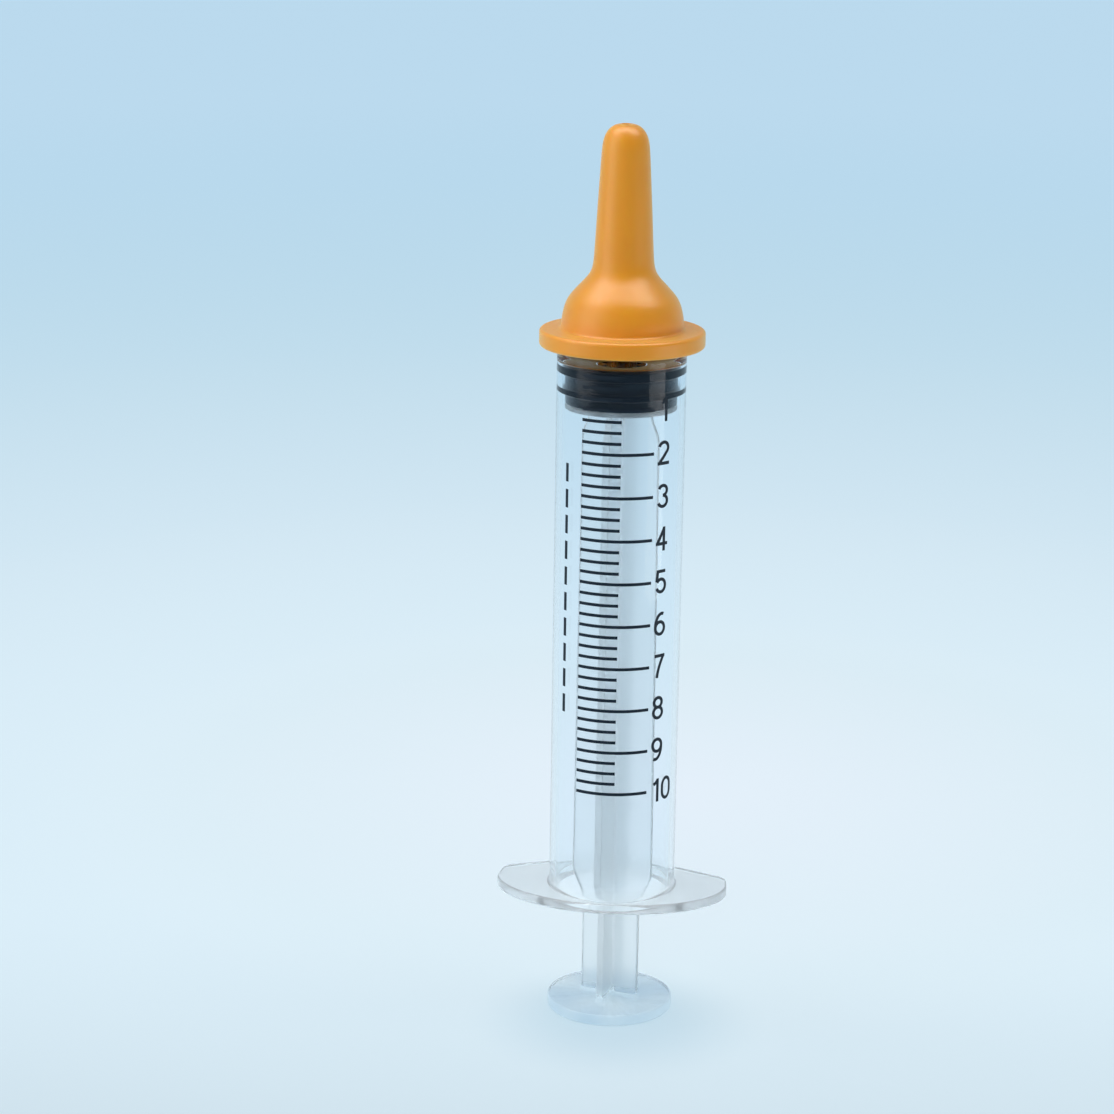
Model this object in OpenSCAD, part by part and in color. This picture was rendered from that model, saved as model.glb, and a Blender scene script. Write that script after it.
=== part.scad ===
// Oral syringe of 10 ml, standing on its thumb disc with the plunger pushed home.
// Origin: on the axis, at the underside of the thumb disc. +Z towards the teat. Millimetres.

/* [Barrel] */
// Outside diameter of the clear tube
barrel_od = 16.6; // [16.2:0.1:17.2]
// Bore diameter of the tube, which sets the length of one millilitre
barrel_bore = 15.045; // [14.9:0.005:15.3]
// Height of the tube's closed front shoulder above the thumb disc's underside
shoulder_z = 89.7; // [89.5:0.1:92]
// Height of the finger flange's underside
flange_z = 16.1; // [14:0.1:20]
// Thickness of the finger flange
flange_t = 1.3; // [1:0.1:2]
// Length of the finger flange from wing tip to wing tip
flange_length = 30.6; // [28:0.2:34]
// Width of the finger flange across its round middle
flange_waist = 19; // [18.6:0.2:20]
// Radius of the wings' corners
flange_corner_r = 1.8; // [1:0.1:2.2]
// Slope of the wings' straight rear edges
flange_slope = 24.6; // [20:0.2:28]
// Fullness of the flange's bowed front edge, 2 for an ellipse
flange_bow = 1.9; // [1.8:0.05:2.2]

/* [Nozzle] */
// Diameter of the collar that the teat grips
collar_od = 12.4; // [11:0.1:13]
// Height of the collar above the shoulder
collar_h = 3.3; // [2.5:0.1:4]
// Diameter of the nozzle at its root
nozzle_od = 4.4; // [4:0.1:5]
// Height of the nozzle's end above the shoulder
nozzle_h = 8.3; // [6:0.1:9]
// Diameter of the nozzle's channel
nozzle_bore = 2; // [1.6:0.1:2.4]

/* [Teat] */
// Diameter of the teat's flange
teat_flange_od = 21.2; // [19:0.2:22]
// Thickness of the teat's flange
teat_flange_t = 2.2; // [1.8:0.1:2.6]
// Radius of the teat's bulb where it leaves the flange
bulb_r = 7.75; // [7.4:0.05:8]
// Radius of the stem at its lower and upper ends
stem_r = [3.78, 3.02];
// Height of the teat's tip above the thumb disc's underside
teat_top_z = 117.9; // [116:0.1:120]
// Diameter of the feed hole
feed_hole_d = 1.2; // [0.8:0.1:1.6]

/* [Gasket] */
// Diameter of the gasket's body
gasket_od = 14.3; // [14:0.1:14.6]
// Height of the gasket's rear face, plunger home
gasket_z = 82.45; // [82.2:0.05:82.7]
// Running clearance of the sealing ribs in the bore, on the radius
rib_clearance = 0.03; // [0.02:0.01:0.06]

/* [Plunger rod] */
// Diameter of the thumb disc
disc_od = 16.6; // [15:0.1:18]
// Thickness of the thumb disc
disc_t = 1.45; // [1.2:0.05:1.8]
// Thickness of the crossed ribs
rib_t = 1; // [0.8:0.1:1.2]
// Half width of the ribs at the neck, at the wide part's two ends and under the collar
rib_half = [3.9, 5.5, 5.2, 4.2];
// Turn of the crossed ribs about the axis
rod_turn = -13.8; // [-45:0.2:45]
// Diameter of the thin collar behind the gasket
rod_collar_od = 14.4; // [14:0.1:14.8]

/* [Scale] */
// Graduations in each millilitre
marks_per_ml = 4; // [2:1:10]
// Capacity at the last mark, in millilitres
capacity_ml = 10; // [5:1:10]
// Thickness of the printed marks
mark_t = 0.4; // [0.25:0.01:0.45]
// Thickness of the printed ink
ink_t = 0.05; // [0.04:0.01:0.08]
// Height of the numerals
numeral_h = 3.15; // [2.5:0.05:3.4]
// Width of a numeral
numeral_w = 1.9; // [1.5:0.05:2.2]

/* [Hidden] */
$fn = 96;
over = 0.5;

barrel_r = barrel_od / 2;
bore_r = barrel_bore / 2;

// The barrel's front
shoulder_r = 0.8;
front_wall_t = 1;
collar_t = 1;

// The gasket's parts, counted from its rear face
gasket_rib_z = [1.35, 3.85];
gasket_rib_h = [1, 1.3];
gasket_nose_h = 6.05;
gasket_nose_r = 2.2;
gasket_r = gasket_od / 2;
seal_r = bore_r - rib_clearance;

// The scale counts from the gasket's nose, and the bore gives its pitch
zero_z = gasket_z + gasket_nose_h;
ml_pitch = 1000 / (PI * bore_r * bore_r);

// The ink's bite into the tube's surface, and its two radii
ink_bite = 0.01;
ink_inner_r = barrel_r - ink_bite;
ink_outer_r = ink_inner_r + ink_t;

// Directions round the barrel, in degrees from the front (-Y) towards +X
marks_start = -29.1;
short_marks_end = 7.2;
long_marks_end = 37.2;
numerals_start = 41.4;
dashes_at = -46.8;
numeral_stroke = 0.42;
numeral_gap = 0.25;
dash_w = 0.5;
dash_l = 2.4;
dash_pitch = 3.4;
dash_count = 10;
dash_top_z = 75.4;

// The rod's stations, bottom to top
neck_top_z = 14.8;
wide_bottom_z = 18.8;
wide_top_z = 78.2;
taper_top_z = 81;
rod_collar_t = 0.6;
rod_collar_z = gasket_z - 0.05 - rod_collar_t;
head_neck_r = 2.5;
head_r = 4;
head_neck_h = 1.5;
head_h = 2.2;
socket_clearance = 0.05;

// The teat's stations and its wall
teat_z = shoulder_z + 0.02;
teat_edge_r = 0.5;
teat_wall = 1.35;
tip_wall = 1.5;
bulb_bottom_z = 92.4;
bulb_shoulder_z = 95;
stem_bottom_z = 100.4;
stem_top_z = 114.8;
grip_clearance = 0.05;

// Points on an arc about c from angle a to angle b
function arc(c, r, a, b, steps) =
    [for (i = [0:steps]) c + r * [cos(a + (b - a) * i / steps), sin(a + (b - a) * i / steps)]];

// Points on an upright ellipse's arc
function oval(c, rx, ry, a, b, steps) =
    [for (i = [0:steps]) c + [rx * cos(a + (b - a) * i / steps), ry * sin(a + (b - a) * i / steps)]];

// Points on a cubic curve with end points p and s and handles q and t
function curve(p, q, t, s, steps) =
    [for (i = [0:steps]) let (u = i / steps)
        pow(1 - u, 3) * p + 3 * u * pow(1 - u, 2) * q + 3 * u * u * (1 - u) * t + pow(u, 3) * s];

function mirrored(points) = [for (i = [len(points) - 1:-1:0]) [-points[i].x, points[i].y]];

// ---- Barrel ----

// Half of the flange's rear outline: a round middle, a straight sloping edge and a rounded wing tip
function flange_wing() =
    let (tip_r = flange_length / 2)
    let (waist_r = flange_waist / 2)
    let (edge_at = 90 - flange_slope)
    let (spread = acos((waist_r - flange_corner_r) / (tip_r - flange_corner_r)))
    let (corner_at = edge_at - spread)
    let (corner = (tip_r - flange_corner_r) * [cos(corner_at), sin(corner_at)])
    concat(
        arc([0, 0], tip_r, 0, corner_at, 3),
        arc(corner, flange_corner_r, corner_at + 8, edge_at, 6),
        arc([0, 0], waist_r, edge_at + 5, 90, 5)
    );

// The flange's front outline, one bow from wing tip to wing tip
function flange_front() =
    [for (a = [185:5:355])
        let (x = abs(cos(a)) / (flange_length / 2), y = abs(sin(a)) / (flange_waist / 2))
        [cos(a), sin(a)] / pow(pow(x, flange_bow) + pow(y, flange_bow), 1 / flange_bow)];

module finger_flange() {
    quarter = flange_wing();
    rear = concat(quarter, [for (p = mirrored(quarter)) if (abs(p.x) > 0.001) p]);
    outline = concat(rear, flange_front());
    translate([0, 0, flange_z])
        difference() {
            linear_extrude(flange_t) polygon(outline);
            translate([0, 0, -over]) cylinder(r = bore_r, h = flange_t + 2 * over);
        }
}

module tube() {
    inside_top = shoulder_z - front_wall_t;
    cone_foot = inside_top - 0.7;
    fillet = 0.4;
    rotate_extrude()
        polygon(concat(
            [[bore_r, flange_z], [barrel_r, flange_z], [barrel_r, flange_z + flange_t]],
            arc([barrel_r + fillet, flange_z + flange_t + fillet], fillet, 270, 180, 4),
            arc([barrel_r - shoulder_r, shoulder_z - shoulder_r], shoulder_r, 0, 90, 6),
            [[nozzle_bore / 2, shoulder_z], [nozzle_bore / 2, inside_top]],
            [[gasket_nose_r, inside_top], [bore_r, cone_foot]]
        ));
}

module nozzle() {
    root = shoulder_z - 0.1;
    tip_r = nozzle_od / 2 - 0.2;
    rotate_extrude()
        polygon([
            [nozzle_bore / 2, root], [nozzle_od / 2, root],
            [tip_r, shoulder_z + nozzle_h - 0.3], [tip_r - 0.3, shoulder_z + nozzle_h],
            [nozzle_bore / 2, shoulder_z + nozzle_h],
        ]);
    rotate_extrude()
        polygon([
            [collar_od / 2 - collar_t, root], [collar_od / 2, root],
            [collar_od / 2, shoulder_z + collar_h - 0.3], [collar_od / 2 - 0.3, shoulder_z + collar_h],
            [collar_od / 2 - collar_t, shoulder_z + collar_h],
        ]);
}

module barrel() {
    color([0.86, 0.93, 0.97, 0.4])
        union() {
            finger_flange();
            tube();
            nozzle();
        }
}

// ---- Plunger rod ----

module rod_rib() {
    top = rod_collar_z + 0.1;
    side = [
        [rib_half[0], disc_t - 0.1], [rib_half[0], neck_top_z],
        [rib_half[1], wide_bottom_z], [rib_half[2], wide_top_z],
        [rib_half[3], taper_top_z], [rib_half[3], top],
    ];
    rotate([90, 0, 0])
        linear_extrude(rib_t, center = true)
            polygon(concat(side, mirrored(side)));
}

module thumb_disc() {
    edge = 0.35;
    r = disc_od / 2;
    rotate_extrude()
        polygon(concat(
            [[0, 0]],
            arc([r - edge, edge], edge, 270, 360, 4),
            arc([r - edge, disc_t - edge], edge, 0, 90, 4),
            [[0, disc_t]]
        ));
}

module rod_head() {
    neck_z = rod_collar_z + rod_collar_t - 0.05;
    head_z = gasket_z + head_neck_h;
    translate([0, 0, rod_collar_z]) cylinder(d = rod_collar_od, h = rod_collar_t);
    translate([0, 0, neck_z]) cylinder(r = head_neck_r, h = head_z - neck_z + 0.1);
    translate([0, 0, head_z]) cylinder(r = head_r, h = 1);
    translate([0, 0, head_z + 1]) cylinder(r1 = head_r, r2 = head_neck_r, h = head_h - 1);
}

module plunger_rod() {
    color([0.72, 0.8, 0.87, 0.85])
        union() {
            thumb_disc();
            for (turn = [0, 90]) rotate([0, 0, rod_turn + turn]) rod_rib();
            rod_head();
        }
}

// ---- Gasket ----

// A sealing rib's rounded crown, as points from its lower edge to its upper one
function crown(z, h) =
    let (edge = 0.25)
    concat(
        [[gasket_r, z]],
        arc([seal_r - edge, z + edge], edge, 270, 360, 3),
        arc([seal_r - edge, z + h - edge], edge, 0, 90, 3),
        [[gasket_r, z + h]]
    );

module gasket() {
    neck_r = head_neck_r + socket_clearance;
    room_r = head_r + socket_clearance;
    room_z = head_neck_h - socket_clearance;
    room_top = head_neck_h + head_h + socket_clearance;
    color([0.1, 0.11, 0.14])
        translate([0, 0, gasket_z])
            rotate_extrude()
                polygon(concat(
                    [[neck_r, 0], [gasket_r - 0.2, 0], [gasket_r, 0.2]],
                    crown(gasket_rib_z[0], gasket_rib_h[0]),
                    crown(gasket_rib_z[1], gasket_rib_h[1]),
                    [[gasket_r - 0.3, gasket_rib_z[1] + gasket_rib_h[1] + 0.1]],
                    [[gasket_nose_r, gasket_nose_h], [0, gasket_nose_h]],
                    [[0, room_top], [neck_r, room_top], [room_r, head_neck_h + 1 + socket_clearance]],
                    [[room_r, room_z], [neck_r, room_z]]
                ));
}

// ---- Teat ----

// Outside of the bulb and stem, from the flange's top to the tip's edge
function teat_outside() =
    concat(
        curve([bulb_r + 0.3, bulb_bottom_z - 0.5], [bulb_r, bulb_bottom_z], [7.5, 94], [7.4, bulb_shoulder_z], 4),
        curve([7.22, 95.5], [6.75, 96.7], [5.1, 97.9], [4.42, 98.8], 6),
        curve([4.2, 99.2], [3.95, 99.6], [3.85, 100], [stem_r[0], stem_bottom_z + 0.6], 4),
        curve([stem_r[1], stem_top_z], [2.9, 116.4], [2.3, 117.5], [1.5, teat_top_z - 0.05], 6)
    );

// Inside of the teat: its channel, the bore round the nozzle and the groove that takes the collar
function teat_inside() =
    let (nozzle_fit_r = nozzle_od / 2 + grip_clearance)
    let (plug_r = collar_od / 2 - collar_t - grip_clearance)
    let (grip_r = collar_od / 2 + grip_clearance)
    let (groove_z = shoulder_z + collar_h + grip_clearance)
    [
        [feed_hole_d / 2, teat_top_z - tip_wall],
        [stem_r[1] - teat_wall - 0.5, teat_top_z - tip_wall],
        [stem_r[1] - teat_wall, stem_top_z],
        [stem_r[0] - teat_wall, stem_bottom_z],
        [nozzle_fit_r, stem_bottom_z - 1.4],
        [nozzle_fit_r, teat_z],
        [plug_r, teat_z],
        [plug_r, groove_z],
        [grip_r, groove_z],
        [grip_r, teat_z],
    ];

module teat() {
    r = teat_flange_od / 2;
    top = shoulder_z + teat_flange_t;
    color([0.93, 0.58, 0.14])
        rotate_extrude()
            polygon(concat(
                arc([r - teat_edge_r, teat_z + teat_edge_r], teat_edge_r, 270, 360, 5),
                arc([r - teat_edge_r, top - teat_edge_r], teat_edge_r, 0, 90, 5),
                teat_outside(),
                [[feed_hole_d / 2, teat_top_z]],
                teat_inside()
            ));
}

// ---- Printed scale ----

// A printed line round the barrel at height z, from one direction to another
module ring_mark(z, from, to) {
    rotate([0, 0, from - 90])
        rotate_extrude(angle = to - from)
            translate([ink_inner_r, z - mark_t / 2]) square([ink_t, mark_t]);
}

module ink() {
    color([0.09, 0.13, 0.19]) children();
}

module scale_short_marks() {
    ink()
        for (i = [1:capacity_ml * marks_per_ml])
            if (i % marks_per_ml != 0)
                ring_mark(zero_z - i * ml_pitch / marks_per_ml, marks_start, short_marks_end);
}

module scale_long_marks() {
    ink()
        for (i = [1:capacity_ml])
            ring_mark(zero_z - i * ml_pitch, marks_start, long_marks_end);
}

// Half sizes of a numeral's middle line
nw = (numeral_w - numeral_stroke) / 2;
nh = numeral_h - numeral_stroke;
upper_r = 0.235 * nh;
lower_r = 0.265 * nh;

// Direction in which the line through the points leaves point i
function heading(points, i) =
    let (d = points[min(i + 1, len(points) - 1)] - points[max(i - 1, 0)])
    d / norm(d);

// One side of a pen stroke that follows the points
function side_of(points, off) =
    [for (i = [0:len(points) - 1]) points[i] + off * [-heading(points, i).y, heading(points, i).x]];

function reversed(points) = [for (i = [len(points) - 1:-1:0]) points[i]];

module pen(points) {
    half = numeral_stroke / 2;
    polygon(concat(side_of(points, half), reversed(side_of(points, -half))));
}

module loop(z, rx, ry) {
    half = numeral_stroke / 2;
    difference() {
        polygon(oval([0, z], rx + half, ry + half, 0, 350, 35));
        polygon(oval([0, z], rx - half, ry - half, 0, 350, 35));
    }
}

module six() {
    loop(0.3 * nh, nw, 0.3 * nh);
    pen(oval([0.3, 0.34 * nh], nw + 0.3, 0.66 * nh, 180, 74, 12));
}

module digit(n) {
    half = numeral_stroke / 2;
    if (n == 0) {
        difference() {
            polygon(concat(
                oval([0, nh - 1], nw + half, 1 + half, 0, 180, 16),
                oval([0, 1], nw + half, 1 + half, 180, 360, 16)
            ));
            polygon(concat(
                oval([0, nh - 1], nw - half, 1 - half, 0, 180, 16),
                oval([0, 1], nw - half, 1 - half, 180, 360, 16)
            ));
        }
    }
    if (n == 1) {
        pen([[0.25, -half], [0.25, nh + half]]);
        pen([[0.25, nh], [-0.1, nh - 0.35], [-0.45, nh - 0.55]]);
    }
    if (n == 2) {
        pen(concat(oval([0, nh - nw], nw, nw, 165, -28, 16), [[0.1, 0.36 * nh], [-nw, 0]]));
        pen([[-nw - half, 0], [nw + half, 0]]);
    }
    if (n == 3) {
        pen(oval([0, nh - upper_r], nw * 0.92, upper_r, 160, -90, 16));
        pen(oval([0, lower_r], nw, lower_r, 90, -160, 16));
    }
    if (n == 4) {
        pen([[0.35, -half], [0.35, nh + half]]);
        pen([[0.35, nh], [-nw, 0.27 * nh]]);
        pen([[-nw - half, 0.27 * nh], [nw + half, 0.27 * nh]]);
    }
    if (n == 5) {
        pen([[-0.62, nh], [nw, nh]]);
        pen([[-0.5, nh + half], [-0.68, 0.5 * nh]]);
        pen(oval([0, 0.31 * nh], nw, 0.31 * nh, 148, -155, 18));
    }
    if (n == 6) six();
    if (n == 7) {
        pen([[-nw, nh], [nw + half, nh]]);
        pen(curve([nw, nh], [0.2, 0.65 * nh], [-0.2, 0.3 * nh], [-0.3, -half], 6));
    }
    if (n == 8) {
        loop(lower_r, nw, lower_r);
        loop(nh - upper_r, nw * 0.88, upper_r);
    }
    if (n == 9) translate([0, nh]) rotate(180) six();
}

// A whole number, its first digit's left edge at x = 0 and its middle at y = 0
module number(n) {
    step = numeral_w + numeral_gap;
    tens = floor(n / 10);
    translate([numeral_w / 2, -nh / 2]) {
        if (tens > 0) digit(tens);
        translate([tens > 0 ? step - 0.3 : 0, 0]) digit(n % 10);
    }
}

module on_barrel(z, at) {
    intersection() {
        translate([0, 0, z - numeral_h])
            difference() {
                cylinder(r = ink_outer_r, h = 2 * numeral_h);
                translate([0, 0, -over]) cylinder(r = ink_inner_r, h = 2 * numeral_h + 2 * over);
            }
        rotate([0, 0, at])
            translate([0, 0, z])
                rotate([90, 0, 0])
                    linear_extrude(barrel_r + 1) children();
    }
}

module scale_numerals() {
    ink()
        for (n = [1:capacity_ml])
            on_barrel(zero_z - n * ml_pitch, numerals_start) number(n);
}

// A column of plain dashes along the barrel's other side
module side_dashes() {
    span = dash_w / barrel_r * 180 / PI;
    ink()
        for (i = [0:dash_count - 1])
            rotate([0, 0, dashes_at - span / 2 - 90])
                rotate_extrude(angle = span)
                    translate([ink_inner_r, dash_top_z - dash_l - i * dash_pitch]) square([ink_t, dash_l]);
}

barrel();
plunger_rod();
gasket();
teat();
scale_short_marks();
scale_long_marks();
scale_numerals();
side_dashes();
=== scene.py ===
"""Looks of the oral syringe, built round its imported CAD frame.

Lengths are millimetres until scaled by MM. The axis is Z, and the front is -Y.
"""
import math

import bmesh
import bpy
from mathutils import Matrix, Vector


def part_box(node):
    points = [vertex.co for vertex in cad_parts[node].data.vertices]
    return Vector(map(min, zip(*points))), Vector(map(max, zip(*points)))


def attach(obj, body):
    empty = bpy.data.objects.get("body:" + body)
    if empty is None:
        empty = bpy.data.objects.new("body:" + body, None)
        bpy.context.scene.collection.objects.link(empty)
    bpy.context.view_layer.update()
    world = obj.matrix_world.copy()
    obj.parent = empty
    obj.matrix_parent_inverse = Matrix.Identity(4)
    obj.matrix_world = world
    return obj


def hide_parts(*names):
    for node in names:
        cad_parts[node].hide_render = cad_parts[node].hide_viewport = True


MM = 0.001
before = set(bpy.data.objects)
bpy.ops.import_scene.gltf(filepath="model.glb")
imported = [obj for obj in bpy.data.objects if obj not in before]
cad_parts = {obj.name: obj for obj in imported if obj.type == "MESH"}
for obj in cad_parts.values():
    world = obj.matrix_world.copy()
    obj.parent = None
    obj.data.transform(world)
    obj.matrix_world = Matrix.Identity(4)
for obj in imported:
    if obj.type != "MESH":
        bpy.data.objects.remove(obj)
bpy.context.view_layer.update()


def node_box(node):
    """A CAD node's lowest and highest corners in millimetres."""
    low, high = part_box(node)
    return low / MM, high / MM


# ---------------------------------------------------------------- sizes

BARREL_LOW, BARREL_HIGH = node_box("barrel")
ROD_HIGH = node_box("plunger_rod")[1]
GASKET_LOW = node_box("gasket")[0]
TEAT_LOW, TEAT_HIGH = node_box("teat")

# How deep rubber presses into clear plastic, so that no film of air shows between them.
PRESS = 0.02

TUBE_R = 8.3
BORE_R = 7.5225
FLANGE_TIP_R = BARREL_HIGH.x
FLANGE_WAIST_R = BARREL_HIGH.y
FLANGE_Z = BARREL_LOW.z
FLANGE_T = 1.3
FLANGE_CORNER_R = 1.8
FLANGE_SLOPE = math.radians(24.6)
FLANGE_BOW = 1.9
FLANGE_BLEND_H = 2.5
# The CAD's teat stands this far off the barrel's shoulder.
TEAT_GAP = 0.02
SHOULDER_Z = TEAT_LOW.z - TEAT_GAP
FRONT_WALL_T = 1.0
NOZZLE_TOP = BARREL_HIGH.z
COLLAR_R = 6.2
COLLAR_T = 1.0
COLLAR_H = 3.3
NOZZLE_R = 2.2
CHANNEL_R = 1.0

TEAT_FLANGE_R = TEAT_HIGH.y
TEAT_FLANGE_T = 2.2
TEAT_TOP = TEAT_HIGH.z
FEED_HOLE_R = 0.6

GASKET_Z = GASKET_LOW.z
GASKET_R = 7.15
GASKET_HOME_GAP = 0.1

DISC_R = ROD_HIGH.y
DISC_T = 1.45
DISC_BLEND_H = 2.0
RIB_T = 1.0
RIB_NECK_HALF = 3.9
RIB_WIDE_HALF = 5.5
RIB_TOP_HALF = 4.2
RIB_FLARE = (14.4, 19.2)
RIB_TAPER = (77.6, 81.2)
# The wide stretch narrows by this much over this length, from this height.
RIB_DRAFT = 0.3
RIB_DRAFT_H = 58.0
RIB_DRAFT_Z = 18.8
ROD_TURN = math.radians(-13.8)
ROD_COLLAR_R = 7.2
ROD_COLLAR_Z = GASKET_Z - 0.65
ROD_COLLAR_T = 0.6
HEAD_NECK_R = 2.5
HEAD_R = 4.0
HEAD_Z = GASKET_Z + 1.5
ROD_TOP = ROD_HIGH.z

CAMERA_AZIMUTH = math.radians(6.2)
PLASTIC_IOR = 1.49


# ---------------------------------------------------------------- outlines and meshes

BARREL_COLUMNS = 480
ROUND_COLUMNS = 256


def arc(cx, cz, radius, start, end, steps):
    """Points on a circle's arc, angles in degrees."""
    turn = (end - start) / steps
    angles = [math.radians(start + turn * i) for i in range(steps + 1)]
    return [(cx + radius * math.cos(a), cz + radius * math.sin(a)) for a in angles]


def smooth_line(points, steps):
    """A Catmull-Rom curve through the points, with the given steps between each two."""
    line = []
    for i in range(len(points) - 1):
        before = points[max(i - 1, 0)]
        here, there = points[i], points[i + 1]
        after = points[min(i + 2, len(points) - 1)]
        for k in range(steps):
            u = k / steps
            line.append(tuple(
                0.5 * (2 * h + (t - b) * u + (2 * b - 5 * h + 4 * t - a) * u * u
                       + (3 * h - b - 3 * t + a) * u ** 3)
                for b, h, t, a in zip(before, here, there, after)
            ))
    line.append(points[-1])
    return line


def skin(name, rings, closed):
    """One closed mesh through rings of points. Open ends are capped with a fan about the axis."""
    mesh = bmesh.new()
    loops = [[mesh.verts.new(Vector(p) * MM) for p in ring] for ring in rings]
    count = len(loops[0])
    pairs = list(zip(loops, loops[1:]))
    if closed:
        pairs.append((loops[-1], loops[0]))
    for low, high in pairs:
        for i in range(count):
            j = (i + 1) % count
            mesh.faces.new((low[i], low[j], high[j], high[i]))
    if not closed:
        for loop, ring in ((loops[0], rings[0]), (loops[-1], rings[-1])):
            centre = mesh.verts.new((0, 0, ring[0][2] * MM))
            for i in range(count):
                mesh.faces.new((loop[i], loop[(i + 1) % count], centre))
    bmesh.ops.recalc_face_normals(mesh, faces=mesh.faces)
    data = bpy.data.meshes.new(name)
    mesh.to_mesh(data)
    mesh.free()
    data.polygons.foreach_set("use_smooth", [True] * len(data.polygons))
    data.set_sharp_from_angle(angle=math.radians(38))
    piece = bpy.data.objects.new(name, data)
    bpy.context.scene.collection.objects.link(piece)
    return piece


def lathe(name, profile, columns, closed=True):
    """A profile of (radius, height) points turned about the axis."""
    angles = [2 * math.pi * i / columns for i in range(columns)]
    rings = [[(r * math.cos(a), r * math.sin(a), z) for a in angles] for r, z in profile]
    return skin(name, rings, closed)


def place(piece, body, node, material):
    """Puts a finished piece in the frame, standing for a CAD node."""
    piece.data.materials.append(material)
    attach(piece, body)
    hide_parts(node)
    return piece


# ---------------------------------------------------------------- materials

# Where noise's values mostly lie.
NOISE_SPAN = (0.3, 0.7)


def new_material(name):
    """A material, its node tree and its Principled shader."""
    material = bpy.data.materials.new(name)
    material.use_nodes = True
    tree = material.node_tree
    return material, tree, tree.nodes["Principled BSDF"]


def noise(tree, scale, stretch=(1, 1, 1), detail=3.0):
    """Noise over the object's own coordinates, in features per metre."""
    place_node = tree.nodes.new("ShaderNodeTexCoord")
    mapping = tree.nodes.new("ShaderNodeMapping")
    mapping.inputs["Scale"].default_value = stretch
    texture = tree.nodes.new("ShaderNodeTexNoise")
    texture.inputs["Scale"].default_value = scale
    texture.inputs["Detail"].default_value = detail
    tree.links.new(place_node.outputs["Object"], mapping.inputs["Vector"])
    tree.links.new(mapping.outputs["Vector"], texture.inputs["Vector"])
    return texture.outputs["Fac"]


def mapped(tree, value, span, results, interpolation="LINEAR"):
    """The value's span mapped to two results, held beyond the span."""
    node = tree.nodes.new("ShaderNodeMapRange")
    node.interpolation_type = interpolation
    for socket, number in zip(("From Min", "From Max", "To Min", "To Max"), (*span, *results)):
        node.inputs[socket].default_value = number
    tree.links.new(value, node.inputs["Value"])
    return node.outputs["Result"]


def ranged(tree, value, low, high):
    """Noise's middle span mapped to low..high."""
    return mapped(tree, value, NOISE_SPAN, (low, high))


def by_height(tree, low_z, high_z, low, high):
    """A value that eases from low to high between two heights, in millimetres."""
    place_node = tree.nodes.new("ShaderNodeTexCoord")
    split = tree.nodes.new("ShaderNodeSeparateXYZ")
    tree.links.new(place_node.outputs["Object"], split.inputs["Vector"])
    return mapped(tree, split.outputs["Z"], (low_z * MM, high_z * MM), (low, high), "SMOOTHSTEP")


def stops_ramp(tree, value, stops, interpolation="LINEAR"):
    """The value's colour on a ramp of (position, colour) stops."""
    ramp = tree.nodes.new("ShaderNodeValToRGB")
    ramp.color_ramp.interpolation = interpolation
    while len(ramp.color_ramp.elements) < len(stops):
        ramp.color_ramp.elements.new(0.5)
    for element, (position, colour) in zip(ramp.color_ramp.elements, stops):
        element.position = position
        element.color = (*colour, 1)
    tree.links.new(value, ramp.inputs["Fac"])
    return ramp.outputs["Color"]


def blended(tree, value, first, second):
    """A colour between two, led by the value."""
    return stops_ramp(tree, value, tuple(zip(NOISE_SPAN, (first, second))))


def product(tree, first, second):
    """Two values multiplied."""
    node = tree.nodes.new("ShaderNodeMath")
    node.operation = "MULTIPLY"
    tree.links.new(first, node.inputs[0])
    tree.links.new(second, node.inputs[1])
    return node.outputs["Value"]


def total(tree, first, second):
    """Two values added."""
    node = tree.nodes.new("ShaderNodeMath")
    tree.links.new(first, node.inputs[0])
    tree.links.new(second, node.inputs[1])
    return node.outputs["Value"]


def bumped(tree, shader, value, strength, distance):
    """Relief from the value, its depth in millimetres."""
    bump = tree.nodes.new("ShaderNodeBump")
    bump.inputs["Strength"].default_value = strength
    bump.inputs["Distance"].default_value = distance * MM
    tree.links.new(value, bump.inputs["Height"])
    tree.links.new(bump.outputs["Normal"], shader.inputs["Normal"])


def clear_plastic():
    """Clear polypropylene, glossy with faint flow lines on the tube, milky on the flange."""
    material, tree, shader = new_material("clear_plastic")
    shader.inputs["IOR"].default_value = PLASTIC_IOR
    shader.inputs["Specular Tint"].default_value = (0.25, 0.25, 0.25, 1)
    low = FLANGE_Z + FLANGE_T
    high = low + FLANGE_BLEND_H
    tint = blended(tree, by_height(tree, low, high, 0, 1), (0.94, 0.98, 1.0), (0.945, 0.978, 1.0))
    tree.links.new(tint, shader.inputs["Base Color"])
    flow = ranged(tree, noise(tree, scale=260, stretch=(1, 1, 0.12), detail=1), 0.02, 0.05)
    satin = by_height(tree, low, high, 0.12, 0.0)
    tree.links.new(total(tree, flow, satin), shader.inputs["Roughness"])
    tree.links.new(by_height(tree, low, high, 0.81, 1.0), shader.inputs["Transmission Weight"])
    return material


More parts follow.
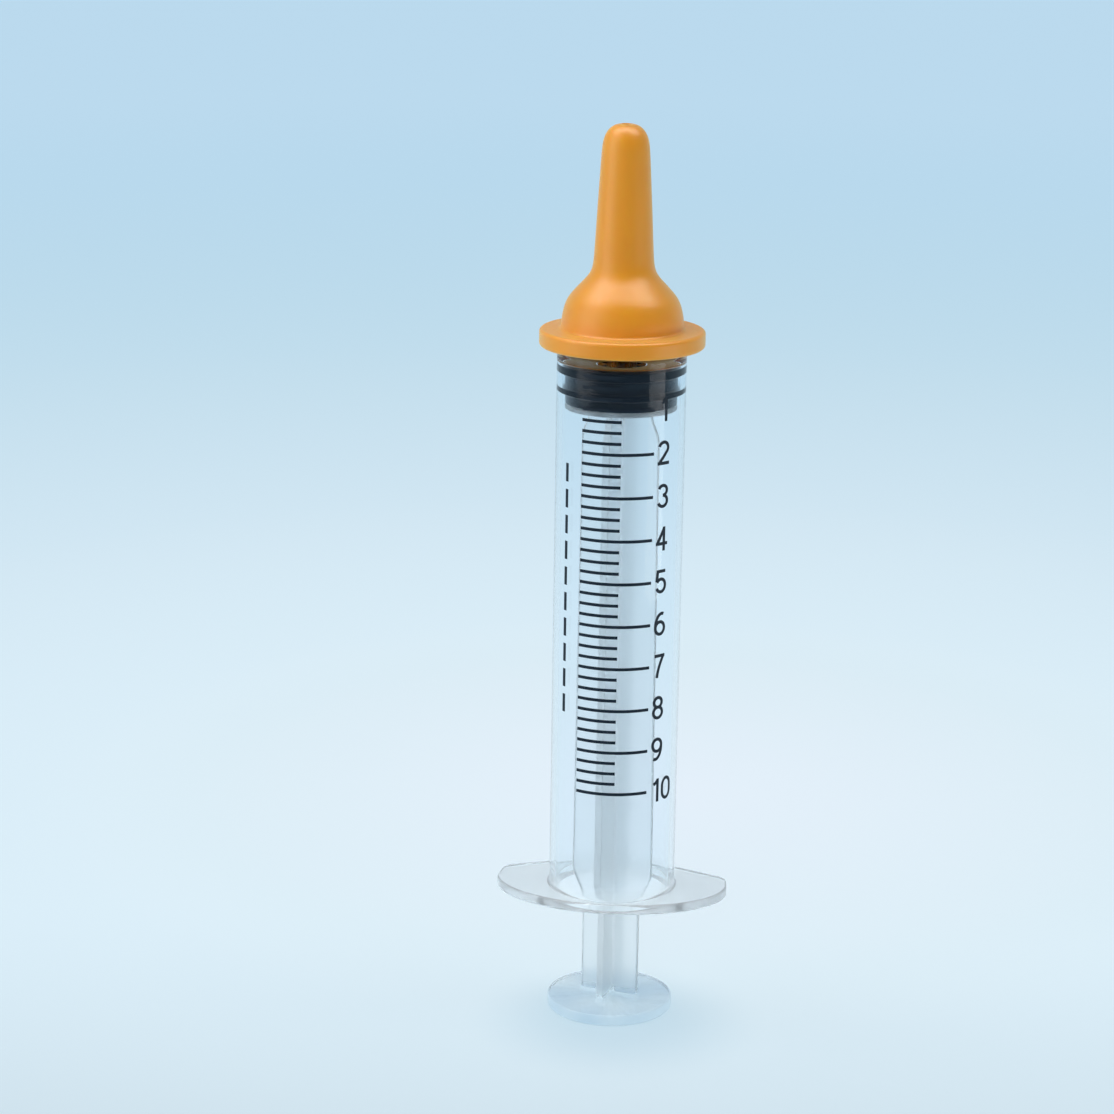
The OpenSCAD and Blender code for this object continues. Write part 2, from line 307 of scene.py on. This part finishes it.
def frosted_plastic():
    """Natural polypropylene, a little milky, with uneven haze, and the disc tinted darker and
    bluer than the ribs as painted shade.
    """
    material, tree, shader = new_material("frosted_plastic")
    shader.inputs["IOR"].default_value = PLASTIC_IOR
    shader.inputs["Specular Tint"].default_value = (0.5, 0.5, 0.5, 1)
    low = DISC_T
    high = low + DISC_BLEND_H
    tree.links.new(by_height(tree, low, high, 0.78, 0.95), shader.inputs["Transmission Weight"])
    haze = noise(tree, scale=120, stretch=(1, 1, 0.15), detail=1)
    # Painted shade: the disc is tinted darker and bluer than the ribs. The haze adds uneven tone
    # over it all.
    disc_shade_and_haze = total(tree, by_height(tree, low, high, 0.0, 0.4), haze)
    tint = blended(tree, disc_shade_and_haze, (0.69, 0.80, 0.905), (0.965, 0.99, 1.0))
    tree.links.new(tint, shader.inputs["Base Color"])
    satin = product(tree, ranged(tree, haze, 0.29, 0.36), by_height(tree, low, high, 0.6, 1.0))
    tree.links.new(satin, shader.inputs["Roughness"])
    return material


def black_rubber():
    """Black butyl rubber, satin under a film of silicone."""
    material, tree, shader = new_material("black_rubber")
    grain = noise(tree, scale=1500, detail=6)
    cloud = noise(tree, scale=240)
    tint = blended(tree, cloud, (0.002, 0.004, 0.009), (0.004, 0.007, 0.014))
    tree.links.new(tint, shader.inputs["Base Color"])
    shader.inputs["Specular IOR Level"].default_value = 0.18
    shader.inputs["Specular Tint"].default_value = (0.5, 0.78, 1.0, 1)
    tree.links.new(ranged(tree, grain, 0.26, 0.36), shader.inputs["Roughness"])
    bumped(tree, shader, grain, strength=0.25, distance=0.01)
    return material


def orange_rubber():
    """Amber silicone rubber, satin, lit a little from within."""
    material, tree, shader = new_material("orange_rubber")
    cloud = noise(tree, scale=130)
    tint = blended(tree, cloud, (0.745, 0.274, 0.0015), (0.79, 0.298, 0.002))
    tree.links.new(tint, shader.inputs["Base Color"])
    shader.inputs["Specular IOR Level"].default_value = 0.5
    shader.inputs["Sheen Weight"].default_value = 0.35
    shader.inputs["Sheen Roughness"].default_value = 0.45
    shader.inputs["Sheen Tint"].default_value = (0.8, 1.0, 0.55, 1)
    shader.inputs["Subsurface Weight"].default_value = 0.4
    shader.inputs["Subsurface Radius"].default_value = (1.0, 0.4, 0.1)
    shader.inputs["Subsurface Scale"].default_value = 1.5 * MM
    grain = noise(tree, scale=2200, detail=5)
    tree.links.new(ranged(tree, grain, 0.36, 0.44), shader.inputs["Roughness"])
    bumped(tree, shader, grain, strength=0.15, distance=0.01)
    return material


def dark_ink():
    """Screen-printed ink, a little uneven in density."""
    material, tree, shader = new_material("dark_ink")
    density = noise(tree, scale=1600, detail=4)
    tint = blended(tree, density, (0.004, 0.011, 0.020), (0.007, 0.016, 0.028))
    tree.links.new(tint, shader.inputs["Base Color"])
    shader.inputs["Specular IOR Level"].default_value = 0.2
    tree.links.new(ranged(tree, density, 0.4, 0.55), shader.inputs["Roughness"])
    bumped(tree, shader, density, strength=0.2, distance=0.01)
    return material


# ---------------------------------------------------------------- barrel

def flange_edge(angle):
    """Distance from the axis to the flange's outline, bowed in front and straight-edged behind."""
    if math.sin(angle) < 0:
        along = abs(math.cos(angle) / FLANGE_TIP_R) ** FLANGE_BOW
        forward = abs(math.sin(angle) / FLANGE_WAIST_R) ** FLANGE_BOW
        return (along + forward) ** (-1 / FLANGE_BOW)
    across = abs(math.atan2(math.sin(angle), math.cos(angle)))
    from_tip = min(across, math.pi - across)
    edge_at = math.pi / 2 - FLANGE_SLOPE
    reach = FLANGE_TIP_R - FLANGE_CORNER_R
    corner_at = edge_at - math.acos((FLANGE_WAIST_R - FLANGE_CORNER_R) / reach)
    if from_tip <= corner_at:
        return FLANGE_TIP_R
    corner_end = math.atan2(
        reach * math.sin(corner_at) + FLANGE_CORNER_R * math.sin(edge_at),
        reach * math.cos(corner_at) + FLANGE_CORNER_R * math.cos(edge_at),
    )
    if from_tip <= corner_end:
        turn = from_tip - corner_at
        return reach * math.cos(turn) + math.sqrt(
            FLANGE_CORNER_R ** 2 - (reach * math.sin(turn)) ** 2
        )
    if from_tip <= edge_at:
        return FLANGE_WAIST_R / math.cos(edge_at - from_tip)
    return FLANGE_WAIST_R


def barrel():
    """The tube with its finger flange, closed front, collar, nozzle and channel."""
    edge = 0.3
    hold = 0.06
    top = FLANGE_Z + FLANGE_T
    foot = 0.4
    wall = SHOULDER_Z - FRONT_WALL_T
    # Each row is (follows the flange's outline, radius or inset from that outline, height).
    rows = [(False, BORE_R + 0.25, FLANGE_Z), (False, BORE_R + 0.4, FLANGE_Z)]
    rows += [(True, -edge - hold, FLANGE_Z)]
    rows += [(True, r, z) for r, z in arc(-edge, FLANGE_Z + edge, edge, 270, 360, 5)]
    rows += [(True, 0, FLANGE_Z + edge + hold), (True, 0, top - edge - hold)]
    rows += [(True, r, z) for r, z in arc(-edge, top - edge, edge, 0, 90, 5)]
    rows += [(True, -edge - hold, top), (False, TUBE_R + foot + hold, top)]
    rows += [(False, r, z) for r, z in arc(TUBE_R + foot, top + foot, foot, 270, 180, 6)]
    rows += [(False, TUBE_R, top + foot + hold)]
    rows += [(False, TUBE_R, top + 12 + 8 * i) for i in range(7)]
    rows += [(False, TUBE_R, SHOULDER_Z - 0.9)]
    rows += [(False, r, z) for r, z in arc(TUBE_R - 0.8, SHOULDER_Z - 0.8, 0.8, 0, 90, 8)]
    rows += [(False, TUBE_R - 0.9, SHOULDER_Z), (False, COLLAR_R + 0.05, SHOULDER_Z)]
    rows += [(False, COLLAR_R, SHOULDER_Z), (False, COLLAR_R, SHOULDER_Z + 0.05)]
    collar_top = SHOULDER_Z + COLLAR_H
    rows += [(False, r, z) for r, z in arc(COLLAR_R - 0.25, collar_top - 0.25, 0.25, 0, 90, 4)]
    inner = COLLAR_R - COLLAR_T
    rows += [(False, r, z) for r, z in arc(inner + 0.2, collar_top - 0.2, 0.2, 90, 180, 4)]
    rows += [(False, inner, SHOULDER_Z + 0.05), (False, inner, SHOULDER_Z)]
    rows += [(False, NOZZLE_R, SHOULDER_Z), (False, NOZZLE_R, SHOULDER_Z + 0.05)]
    tip = NOZZLE_R - 0.2
    rows += [(False, r, z) for r, z in arc(tip - 0.25, NOZZLE_TOP - 0.25, 0.25, 0, 90, 4)]
    rows += [(False, CHANNEL_R + 0.1, NOZZLE_TOP), (False, CHANNEL_R, NOZZLE_TOP - 0.1)]
    rows += [(False, CHANNEL_R, wall + 0.1), (False, CHANNEL_R + 0.1, wall)]
    rows += [(False, 2.2, wall), (False, BORE_R - 0.25, wall - 0.66)]
    rows += [(False, r, z) for r, z in arc(BORE_R - 0.3, wall - 0.98, 0.3, 80, 0, 5)]
    rows += [(False, BORE_R, wall - 6 - 8 * i) for i in range(8)]
    rows += [(False, BORE_R, FLANGE_Z + 0.3)]
    rows += [(False, r, z) for r, z in arc(BORE_R + 0.25, FLANGE_Z + 0.25, 0.25, 180, 260, 4)]
    rings = []
    for follows, radius, height in rows:
        ring = []
        for i in range(BARREL_COLUMNS):
            angle = 2 * math.pi * i / BARREL_COLUMNS
            reach = flange_edge(angle) + radius if follows else radius
            ring.append((reach * math.cos(angle), reach * math.sin(angle), height))
        rings.append(ring)
    return skin("barrel_moulding", rings, closed=True)


# ---------------------------------------------------------------- plunger rod

def cross(half, thick, height):
    """The rod's outline at one height: four arms with rounded tips and filleted roots."""
    tip = 0.18
    root = 0.35
    side = thick / 2
    arm = arc(half - tip, side - tip, tip, 0, 90, 4)
    inner = side + root
    span = half - tip - inner
    arm += [(half - tip - span * k / 5, side) for k in (0.08, 0.6, 1.5, 2.5, 3.5, 4.4, 4.92)]
    fillet = arc(inner, inner, root, 270, 180, 6)
    quarter = [(half, 0)] + arm + fillet
    quarter += [(y, x) for x, y in reversed(arm)]
    outline = []
    for k in range(4):
        turn = ROD_TURN + k * math.pi / 2
        for x, y in quarter:
            outline.append((
                x * math.cos(turn) - y * math.sin(turn),
                x * math.sin(turn) + y * math.cos(turn),
                height,
            ))
    return outline


def eased(value, low, high):
    """0 below low, 1 above high and a smooth step between."""
    share = min(max((value - low) / (high - low), 0), 1)
    return share * share * (3 - 2 * share)


def rod_half_width(height):
    """Half width of the ribs: a neck, a wide stretch and a narrower top, joined by soft tapers."""
    wide = RIB_WIDE_HALF - RIB_DRAFT * (height - RIB_DRAFT_Z) / RIB_DRAFT_H
    half = RIB_NECK_HALF + (wide - RIB_NECK_HALF) * eased(height, *RIB_FLARE)
    return half + (RIB_TOP_HALF - half) * eased(height, *RIB_TAPER)


def plunger_rod():
    """The thumb disc, the crossed ribs, the collar under the gasket and the head inside it."""
    edge = 0.22
    hold = 0.06
    foot = 0.4
    guide_points = cross(RIB_NECK_HALF + foot, RIB_T + 2 * foot, 0)
    guide = [math.atan2(y, x) for x, y, _ in guide_points]

    def ring(radius, height):
        return [(radius * math.cos(a), radius * math.sin(a), height) for a in guide]

    rings = [ring(0.6, 0), ring(4, 0), ring(DISC_R - edge - hold, 0)]
    rings += [ring(r, z) for r, z in arc(DISC_R - edge, edge, edge, 270, 360, 5)]
    rings += [ring(DISC_R, edge + hold), ring(DISC_R, DISC_T - edge - hold)]
    rings += [ring(r, z) for r, z in arc(DISC_R - edge, DISC_T - edge, edge, 0, 90, 5)]
    rings += [ring(DISC_R - edge - hold, DISC_T), ring(6.2, DISC_T)]
    rings += [cross(RIB_NECK_HALF + foot + hold, RIB_T + 2 * (foot + hold), DISC_T)]
    for spread, rise in arc(foot, foot, foot, 270, 180, 6):
        rings.append(cross(RIB_NECK_HALF + spread, RIB_T + 2 * spread, DISC_T + rise))
    heights = [DISC_T + foot + hold, 6, 10, 13.8]
    heights += [14.4 + 0.48 * i for i in range(11)]
    heights += [20 + 8 * i for i in range(8)]
    heights += [77.4 + 0.4 * i for i in range(10)]
    top = ROD_COLLAR_Z
    for height in heights:
        rings.append(cross(rod_half_width(height), RIB_T, height))
    for spread, rise in arc(foot, foot, foot, 180, 90, 6):
        rings.append(cross(RIB_TOP_HALF + spread, RIB_T + 2 * spread, top - 2 * foot + rise))
    corner = 0.2
    corner_r = ROD_COLLAR_R - corner
    high = top + ROD_COLLAR_T
    rings += [ring(5.6, top), ring(corner_r - hold, top)]
    rings += [ring(r, z) for r, z in arc(corner_r, top + corner, corner, 270, 360, 4)]
    rings += [ring(r, z) for r, z in arc(corner_r, high - corner, corner, 0, 90, 4)]
    rings += [ring(corner_r - hold, high), ring(HEAD_NECK_R + 0.1, high)]
    rings += [ring(HEAD_NECK_R, high + 0.1), ring(HEAD_NECK_R, HEAD_Z - 0.05)]
    rings += [ring(HEAD_NECK_R + 0.05, HEAD_Z), ring(HEAD_R - 0.1, HEAD_Z)]
    rings += [ring(HEAD_R, HEAD_Z + 0.1), ring(HEAD_R, HEAD_Z + 0.95)]
    rings += [ring(HEAD_R - 0.05, HEAD_Z + 1.05), ring(2.6, ROD_TOP - 0.05)]
    rings += [ring(2.4, ROD_TOP), ring(0.6, ROD_TOP)]
    return skin("plunger_rod_moulding", rings, closed=False)


# ---------------------------------------------------------------- gasket

def gasket():
    """The seal with its two ribs, conical front and socket for the rod's head."""
    seal = BORE_R + PRESS
    rows = [(2.55, 0.1), (2.65, 0), (GASKET_R - 0.3, 0)]
    rows += arc(GASKET_R - 0.25, 0.25, 0.25, 270, 360, 5)
    for low, high in ((1.35, 2.35), (3.85, 5.15)):
        rise = (high - low) / 2
        rows += [(GASKET_R, low - 0.25)]
        rows += [(GASKET_R + 0.04, low - 0.1), (GASKET_R + 0.14, low + 0.02)]
        rows += arc(seal - 0.22, low + 0.26, 0.22, 290, 360, 5)
        rows += [(seal, low + rise)]
        rows += arc(seal - 0.22, high - 0.26, 0.22, 0, 70, 5)
        rows += [(GASKET_R + 0.14, high - 0.02), (GASKET_R + 0.04, high + 0.1)]
    rows = rows[:-1]
    nose = SHOULDER_Z - FRONT_WALL_T - GASKET_HOME_GAP - GASKET_Z
    rows += [(GASKET_R - 0.2, 5.22), (GASKET_R - 0.5, 5.3), (5.3, nose - 0.45), (5.0, nose - 0.37)]
    rows += [(2.2, nose), (1.6, nose + 0.01), (0.8, nose + 0.01)]
    socket = [
        (0.8, 3.75), (2.5, 3.75), (2.65, 3.7), (4.0, 2.6), (4.05, 2.5), (4.05, 1.5), (4.0, 1.45),
        (2.6, 1.45), (2.55, 1.4),
    ]
    # The skin starts on the socket's ceiling and ends on the nose, both closed at the axis.
    profile = [(r, z + GASKET_Z) for r, z in socket + rows]
    return lathe("gasket_seal", profile, ROUND_COLUMNS, closed=False)


# ---------------------------------------------------------------- teat

def teat():
    """The flange, bulb and hollow stem, with the feed hole and the groove for the collar."""
    low = SHOULDER_Z - PRESS
    top = SHOULDER_Z + TEAT_FLANGE_T
    edge = 0.45
    hold = 0.08
    rows = [(COLLAR_R + 0.3, low), (TEAT_FLANGE_R - edge - hold, low)]
    rows += arc(TEAT_FLANGE_R - edge, low + edge, edge, 270, 360, 6)
    rows += [(TEAT_FLANGE_R, low + edge + hold), (TEAT_FLANGE_R, top - edge - hold)]
    rows += arc(TEAT_FLANGE_R - edge, top - edge, edge, 0, 90, 6)
    rows += [(TEAT_FLANGE_R - edge - hold, top), (8.3, top)]
    outside = [
        (8.12, top + 0.03), (7.9, top + 0.2), (7.82, top + 0.55), (7.72, 93.5), (7.56, 94.3),
        (7.36, 95.0), (7.02, 95.75), (6.56, 96.4), (5.98, 97.06), (5.34, 97.75), (4.76, 98.38),
        (4.32, 98.98), (4.04, 99.6), (3.89, 100.3), (3.80, 101.2), (3.69, 103), (3.51, 106.5),
        (3.32, 109.8), (3.14, 113), (3.03, 114.6), (2.93, 115.5), (2.75, 116.2), (2.46, 116.83),
        (2.04, 117.35), (1.52, 117.7), (1.0, 117.86),
    ]
    rows += smooth_line(outside, 4)
    rows += [(FEED_HOLE_R + 0.12, TEAT_TOP), (FEED_HOLE_R + 0.03, TEAT_TOP - 0.04)]
    rows += [(FEED_HOLE_R, TEAT_TOP - 0.15), (FEED_HOLE_R, TEAT_TOP - 1.4)]
    inside = [
        (FEED_HOLE_R + 0.1, TEAT_TOP - 1.5), (1.1, TEAT_TOP - 1.6), (1.5, TEAT_TOP - 2.1),
        (1.67, 114.8), (2.05, 107.6), (2.43, 100.4), (2.4, 99.6), (NOZZLE_R + 0.05, 99),
    ]
    rows += smooth_line(inside, 3)
    nozzle_fit = NOZZLE_R - PRESS
    plug = COLLAR_R - COLLAR_T + PRESS
    grip = COLLAR_R - PRESS
    ceiling = SHOULDER_Z + COLLAR_H + 0.05
    rows += [(nozzle_fit, 98.4), (nozzle_fit, low + 0.1), (nozzle_fit + 0.1, low)]
    rows += [(plug - 0.1, low), (plug, low + 0.1), (plug, ceiling - 0.1), (plug + 0.1, ceiling)]
    rows += [(grip - 0.1, ceiling), (grip, ceiling - 0.1), (grip, low + 0.1), (grip + 0.1, low)]
    return lathe("teat_moulding", rows, ROUND_COLUMNS)


# ---------------------------------------------------------------- pieces in place

tube = place(barrel(), "barrel", "barrel", clear_plastic())
# A hard shadow of clear plastic would be darker than the real one.
tube.visible_shadow = False
pieces = [
    tube,
    place(plunger_rod(), "plunger_rod", "plunger_rod", frosted_plastic()),
    place(gasket(), "gasket", "gasket", black_rubber()),
    place(teat(), "teat", "teat", orange_rubber()),
]
ink = dark_ink()
for print_node in ("scale_short_marks", "scale_long_marks", "scale_numerals", "side_dashes"):
    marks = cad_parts[print_node]
    marks.data.materials.clear()
    marks.data.materials.append(ink)
    pieces.append(marks)
# What the side panels light: the object and not the floor.
syringe = bpy.data.collections.new("syringe")
for piece in pieces:
    syringe.objects.link(piece)


# ---------------------------------------------------------------- stage

# The floor's own glow by distance from the pool's middle, in metres: a painted pool of light.
POOL = (
    (0.0, (0.63, 0.705, 0.78)), (0.07, (0.575, 0.685, 0.75)), (0.1, (0.56, 0.685, 0.76)),
    (0.2, (0.51, 0.65, 0.74)), (0.38, (0.438, 0.613, 0.725)), (0.67, (0.415, 0.61, 0.75)),
    (1.0, (0.435, 0.625, 0.77)),
)
POOL_CENTRE = (0, 0.09, 0)
FLOOR_SIZE = 12
# The floor's painted glow falls towards the camera: over this distance, in metres, and by this
# share.
FRONT_SPAN = (-0.03, 0.1)
FRONT_SHARE = (1.0, 0.78)
# The floor's glow under the object, as a share of the open floor's: a painted shadow round the
# object's foot. That shade's place is given by its centre and the distances from there over which
# it fades.
SHADE = (0.76, 0.84, 0.88)
SHADE_CENTRE = (0.001, -0.006, 0)
SHADE_SPAN = (0.004, 0.021)
# The surroundings by height, from the horizon (0) to straight up (1).
SKY = ((0.0, (0.49, 0.63, 0.74)), (0.35, (0.46, 0.50, 0.54)), (1.0, (0.08, 0.09, 0.10)))
# The surroundings are dim to the front right: which way, over which span, and how strong.
DIM_WAY = (0.57, -0.82, 0)
DIM_SPAN = (0.0, 0.8)
DIM_STRENGTH = (1.0, 0.5)
WHITE = (1.0, 1.0, 1.0)
PANEL_AIM = Vector((0, 0, 0.07))
CAMERA_PLACE = (0, -0.3931, 0.16447)


def turned(x, y, z):
    """A place given in the camera's own front-back frame, in metres."""
    return Matrix.Rotation(CAMERA_AZIMUTH, 3, "Z") @ Vector((x, y, z))


def vector_math(tree, operation, first, second, output="Vector"):
    """A vector operation on a socket and either another socket or a fixed vector."""
    node = tree.nodes.new("ShaderNodeVectorMath")
    node.operation = operation
    tree.links.new(first, node.inputs[0])
    if isinstance(second, bpy.types.NodeSocket):
        tree.links.new(second, node.inputs[1])
    else:
        node.inputs[1].default_value = second
    return node.outputs[output]


def floor():
    """A plain pale floor that glows, brightest in a painted pool of light behind the object and
    dimmer towards the camera.
    """
    bpy.ops.mesh.primitive_plane_add(size=FLOOR_SIZE, location=(0, 0, 0))
    plane = bpy.context.object
    plane.name = "floor"
    material, tree, shader = new_material("pale_floor")
    shader.inputs["Base Color"].default_value = (0.20, 0.22, 0.23, 1)
    shader.inputs["Roughness"].default_value = 0.8
    shader.inputs["Specular IOR Level"].default_value = 0.1
    shader.inputs["Emission Strength"].default_value = 1.0
    position = tree.nodes.new("ShaderNodeTexCoord").outputs["Object"]
    # Painted light: the floor's glow is a pool round POOL_CENTRE, falling off towards the camera.
    from_pool = vector_math(tree, "DISTANCE", position, POOL_CENTRE, "Value")
    pool = stops_ramp(tree, from_pool, POOL, "CARDINAL")
    forward = vector_math(tree, "DOT_PRODUCT", position, turned(0, -1, 0), "Value")
    falloff = mapped(tree, forward, FRONT_SPAN, FRONT_SHARE, "SMOOTHSTEP")
    glow = vector_math(tree, "MULTIPLY", pool, falloff)
    # Painted shadow: the floor's glow is dimmed round the object's foot.
    from_foot = vector_math(tree, "DISTANCE", position, turned(*SHADE_CENTRE), "Value")
    openness = mapped(tree, from_foot, SHADE_SPAN, (0.0, 1.0), "SMOOTHSTEP")
    shade = stops_ramp(tree, openness, ((0.0, SHADE), (1.0, WHITE)))
    shaded = vector_math(tree, "MULTIPLY", glow, shade)
    tree.links.new(shaded, shader.inputs["Emission Color"])
    plane.data.materials.append(material)


def sky(scene):
    """Soft surroundings, pale at the horizon, dim overhead and dim to the front right."""
    world = bpy.data.worlds.new("studio")
    world.use_nodes = True
    tree = world.node_tree
    direction = tree.nodes.new("ShaderNodeTexCoord").outputs["Generated"]
    split = tree.nodes.new("ShaderNodeSeparateXYZ")
    tree.links.new(direction, split.inputs["Vector"])
    colour = stops_ramp(tree, split.outputs["Z"], SKY)
    forward = vector_math(tree, "DOT_PRODUCT", direction, turned(*DIM_WAY), "Value")
    strength = mapped(tree, forward, DIM_SPAN, DIM_STRENGTH, "SMOOTHSTEP")
    tree.links.new(strength, tree.nodes["Background"].inputs["Strength"])
    tree.links.new(colour, tree.nodes["Background"].inputs["Color"])
    scene.world = world


def panel(name, azimuth, distance, height, size, watts, shines=True, lights=True, only=None):
    """A soft panel that faces the object, its azimuth from the camera's side, about the axis.

    It shows in gloss if it shines, and lights what is matt if it lights.
    It can be for one collection only.
    """
    lamp = bpy.data.lights.new(name, "AREA")
    lamp.shape = "RECTANGLE"
    lamp.size, lamp.size_y = size
    lamp.energy = watts
    holder = bpy.data.objects.new(name, lamp)
    side = math.radians(azimuth)
    holder.location = turned(distance * math.sin(side), -distance * math.cos(side), height)
    aim = PANEL_AIM - holder.location
    holder.rotation_euler = aim.to_track_quat("-Z", "Y").to_euler()
    holder.visible_camera = False
    holder.visible_transmission = False
    holder.visible_glossy = shines
    holder.visible_diffuse = lights
    holder.light_linking.receiver_collection = only
    bpy.context.scene.collection.objects.link(holder)


def camera():
    """The photographed view: 22 degrees down on the disc, 11 degrees down on the teat."""
    pitch = math.radians(14.646)
    yaw = math.radians(-1.151)
    roll = math.radians(0.854)
    level = Vector((math.sin(yaw), math.cos(yaw), 0))
    forward = level * math.cos(pitch) - Vector((0, 0, math.sin(pitch)))
    right = Vector((math.cos(yaw), -math.sin(yaw), 0))
    up = right.cross(forward)
    across = math.cos(roll) * right + math.sin(roll) * up
    upright = -math.sin(roll) * right + math.cos(roll) * up
    turn = Matrix.Rotation(CAMERA_AZIMUTH, 3, "Z")
    columns = [turn @ v for v in (across, upright, -forward)]
    data = bpy.data.cameras.new("camera")
    data.lens = 101.3
    data.sensor_width = 36
    data.clip_start = 0.01
    data.clip_end = 50
    holder = bpy.data.objects.new("camera", data)
    holder.matrix_world = (
        Matrix.Translation(turned(*CAMERA_PLACE))
        @ Matrix(columns).transposed().to_4x4()
    )
    bpy.context.scene.collection.objects.link(holder)
    bpy.context.scene.camera = holder


def studio():
    """The view transform, the light's bounces, the surroundings and the soft panels."""
    scene = bpy.context.scene
    scene.view_settings.view_transform = "Standard"
    scene.cycles.max_bounces = 24
    scene.cycles.transmission_bounces = 24
    sky(scene)
    panel("top_panel", azimuth=180, distance=0, height=0.55, size=(0.9, 0.2), watts=1.9)
    panel("gloss_panel", azimuth=180, distance=0, height=0.5, size=(0.9, 0.3), watts=2.9,
          lights=False)
    panel("front_panel", azimuth=-10, distance=0.55, height=0.22, size=(0.3, 0.2), watts=0.65,
          shines=False)
    panel("left_panel", azimuth=-68, distance=0.22, height=0.17, size=(0.18, 0.32), watts=0.24,
          only=syringe)
    panel("left_gloss", azimuth=-60, distance=0.22, height=0.17, size=(0.2, 0.32), watts=0.14,
          lights=False, only=syringe)
    panel("right_panel", azimuth=66, distance=0.2, height=0.03, size=(0.12, 0.05), watts=0.07,
          only=syringe)


camera()
floor()
studio()
